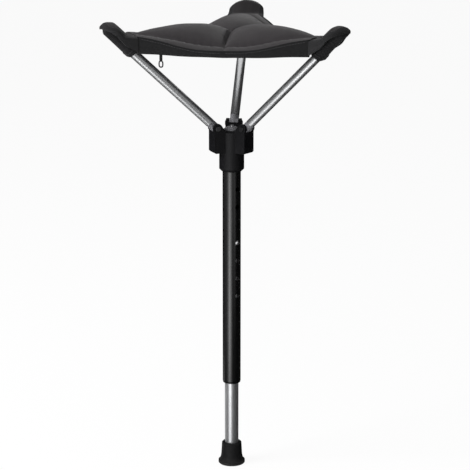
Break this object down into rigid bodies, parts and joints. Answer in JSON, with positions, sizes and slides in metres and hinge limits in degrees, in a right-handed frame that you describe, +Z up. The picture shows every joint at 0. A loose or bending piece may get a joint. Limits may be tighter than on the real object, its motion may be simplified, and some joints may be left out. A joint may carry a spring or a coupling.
{
  "type": "folding telescopic stool",
  "caption": "Folding camp stool: telescopic tube leg with a rubber foot and lock button, lugged hub, hinged tube arms that fold upwards and a padded triangular cloth seat.",
  "frame": {"origin": "centre of the rubber foot's sole, on the floor", "axes": "+Z up along the leg; the back arm points along +Y, the left and right arms to the front at 120 degrees from it"},
  "size_m": [0.3256, 0.2868, 0.6305],
  "materials": {
    "rubber": "satin moulded rubber",
    "steel": "bright plated steel",
    "aluminium": "drawn, clear anodised",
    "black_tube": "gloss black powder coat",
    "nylon": "moulded black nylon",
    "grey_nylon": "moulded grey nylon",
    "cloth": "charcoal woven polyester over foam",
    "tape": "black woven binding tape"
  },
  "bodies": {
    "lower_leg": {"rubber_foot": "rubber", "foot_washer": "steel", "inner_tube": "aluminium", "inner_tube_glider": "nylon", "button_spring": "steel"},
    "lock_button": {"lock_button": "steel"},
    "upper_leg": {"outer_tube": "black_tube", "guide_bush": "nylon", "hub": "nylon", "hub_top_cap": "grey_nylon", "cap_screw": "steel", "hub_screw": "steel", "pivot_pin_back": "steel", "pivot_pin_left": "steel", "pivot_pin_right": "steel"},
    "back_arm": {"arm_knuckle_back": "grey_nylon", "arm_tube_back": "aluminium", "arm_tip_cap_back": "nylon", "corner_pocket_back": "tape"},
    "left_arm": {"arm_knuckle_left": "grey_nylon", "arm_tube_left": "aluminium", "arm_tip_cap_left": "nylon", "corner_pocket_left": "tape"},
    "right_arm": {"arm_knuckle_right": "grey_nylon", "arm_tube_right": "aluminium", "arm_tip_cap_right": "nylon", "corner_pocket_right": "tape"},
    "back_corner": {"corner_patch_back": "tape"},
    "left_corner": {"corner_patch_left": "tape"},
    "right_corner": {"corner_patch_right": "tape"},
    "back_pad_clockwise": {"seat_pad_back_clockwise": "cloth", "edge_binding_back_clockwise": "tape"},
    "back_pad_anticlockwise": {"seat_pad_back_anticlockwise": "cloth", "edge_binding_back_anticlockwise": "tape"},
    "left_pad_clockwise": {"seat_pad_left_clockwise": "cloth", "edge_binding_left_clockwise": "tape"},
    "left_pad_anticlockwise": {"seat_pad_left_anticlockwise": "cloth", "edge_binding_left_anticlockwise": "tape", "zip_tape": "tape"},
    "right_pad_clockwise": {"seat_pad_right_clockwise": "cloth", "edge_binding_right_clockwise": "tape"},
    "right_pad_anticlockwise": {"seat_pad_right_anticlockwise": "cloth", "edge_binding_right_anticlockwise": "tape"},
    "zip_slider": {"zip_slider": "nylon"},
    "zip_pull": {"zip_pull": "steel"}
  },
  "joints": [
    {"name": "leg_slide", "type": "slide", "parent": "lower_leg", "child": "upper_leg", "axis": [0, 0, 1], "range_m": [-0.075, 0.075]},
    {"name": "button_press", "type": "slide", "parent": "lower_leg", "child": "lock_button", "axis": [-0.7193, 0.6947, 0], "range_m": [0, 0.0033], "stiffness_N_per_m": 600, "springref_m": -0.003, "deforming": ["button_spring"]},
    {"name": "seat_fold", "type": "hinge", "parent": "upper_leg", "child": "back_arm", "pos_m": [0, 0.024, 0.481], "axis": [1, 0, 0], "range_deg": [0, 44], "deforming": ["corner_pocket_back", "corner_pocket_left", "corner_pocket_right", "corner_patch_back", "corner_patch_left", "corner_patch_right", "seat_pad_back_clockwise", "seat_pad_back_anticlockwise", "seat_pad_left_clockwise", "seat_pad_left_anticlockwise", "seat_pad_right_clockwise", "seat_pad_right_anticlockwise", "edge_binding_back_clockwise", "edge_binding_back_anticlockwise", "edge_binding_left_clockwise", "edge_binding_left_anticlockwise", "edge_binding_right_clockwise", "edge_binding_right_anticlockwise"]},
    {"name": "left_arm_fold", "type": "hinge", "parent": "upper_leg", "child": "left_arm", "pos_m": [-0.02079, -0.012, 0.481], "axis": [-0.5, 0.866, 0], "range_deg": [0, 44]},
    {"name": "right_arm_fold", "type": "hinge", "parent": "upper_leg", "child": "right_arm", "pos_m": [0.02079, -0.012, 0.481], "axis": [-0.5, -0.866, 0], "range_deg": [0, 44]},
    {"name": "back_corner_tilt", "type": "hinge", "parent": "back_arm", "child": "back_corner", "pos_m": [0, 0.1732, 0.62013], "axis": [1, 0, 0], "range_deg": [0, 30.81]},
    {"name": "left_corner_tilt", "type": "hinge", "parent": "left_arm", "child": "left_corner", "pos_m": [-0.14999, -0.0866, 0.62013], "axis": [-0.5, 0.866, 0], "range_deg": [0, 30.81]},
    {"name": "right_corner_tilt", "type": "hinge", "parent": "right_arm", "child": "right_corner", "pos_m": [0.14999, -0.0866, 0.62013], "axis": [-0.5, -0.866, 0], "range_deg": [0, 30.81]},
    {"name": "back_pad_clockwise_roll", "type": "hinge", "parent": "back_corner", "child": "back_pad_clockwise", "pos_m": [0, 0.1732, 0.62013], "axis": [0, 0.998, 0.064], "range_deg": [0, 11.74]},
    {"name": "back_pad_anticlockwise_roll", "type": "hinge", "parent": "back_corner", "child": "back_pad_anticlockwise", "pos_m": [0, 0.1732, 0.62013], "axis": [0, -0.998, -0.064], "range_deg": [0, 11.74]},
    {"name": "left_pad_clockwise_roll", "type": "hinge", "parent": "left_corner", "child": "left_pad_clockwise", "pos_m": [-0.14999, -0.0866, 0.62013], "axis": [-0.8643, -0.499, 0.064], "range_deg": [0, 11.74]},
    {"name": "left_pad_anticlockwise_roll", "type": "hinge", "parent": "left_corner", "child": "left_pad_anticlockwise", "pos_m": [-0.14999, -0.0866, 0.62013], "axis": [0.8643, 0.499, -0.064], "range_deg": [0, 11.74]},
    {"name": "right_pad_clockwise_roll", "type": "hinge", "parent": "right_corner", "child": "right_pad_clockwise", "pos_m": [0.14999, -0.0866, 0.62013], "axis": [0.8643, -0.499, 0.064], "range_deg": [0, 11.74]},
    {"name": "right_pad_anticlockwise_roll", "type": "hinge", "parent": "right_corner", "child": "right_pad_anticlockwise", "pos_m": [0.14999, -0.0866, 0.62013], "axis": [-0.8643, 0.499, -0.064], "range_deg": [0, 11.74]},
    {"name": "zip_slide", "type": "slide", "parent": "left_pad_anticlockwise", "child": "zip_slider", "axis": [0.9843, -0.0174, -0.1759], "range_m": [0, 0.04], "deforming": ["zip_tape"]},
    {"name": "zip_pull_swing", "type": "hinge", "parent": "zip_slider", "child": "zip_pull", "pos_m": [-0.08265, -0.07723, 0.59286], "axis": [0.9998, -0.0177, 0], "range_deg": [-60, 60]}
  ],
  "couplings": [
    {"joint": "left_arm_fold", "follows": "seat_fold", "ratio": 1},
    {"joint": "right_arm_fold", "follows": "seat_fold", "ratio": 1},
    {"joint": "back_corner_tilt", "follows": "seat_fold", "ratio": 0.70017},
    {"joint": "left_corner_tilt", "follows": "seat_fold", "ratio": 0.70017},
    {"joint": "right_corner_tilt", "follows": "seat_fold", "ratio": 0.70017},
    {"joint": "back_pad_clockwise_roll", "follows": "seat_fold", "ratio": 0.26665},
    {"joint": "back_pad_anticlockwise_roll", "follows": "seat_fold", "ratio": 0.26665},
    {"joint": "left_pad_clockwise_roll", "follows": "seat_fold", "ratio": 0.26665},
    {"joint": "left_pad_anticlockwise_roll", "follows": "seat_fold", "ratio": 0.26665},
    {"joint": "right_pad_clockwise_roll", "follows": "seat_fold", "ratio": 0.26665},
    {"joint": "right_pad_anticlockwise_roll", "follows": "seat_fold", "ratio": 0.26665}
  ]
}
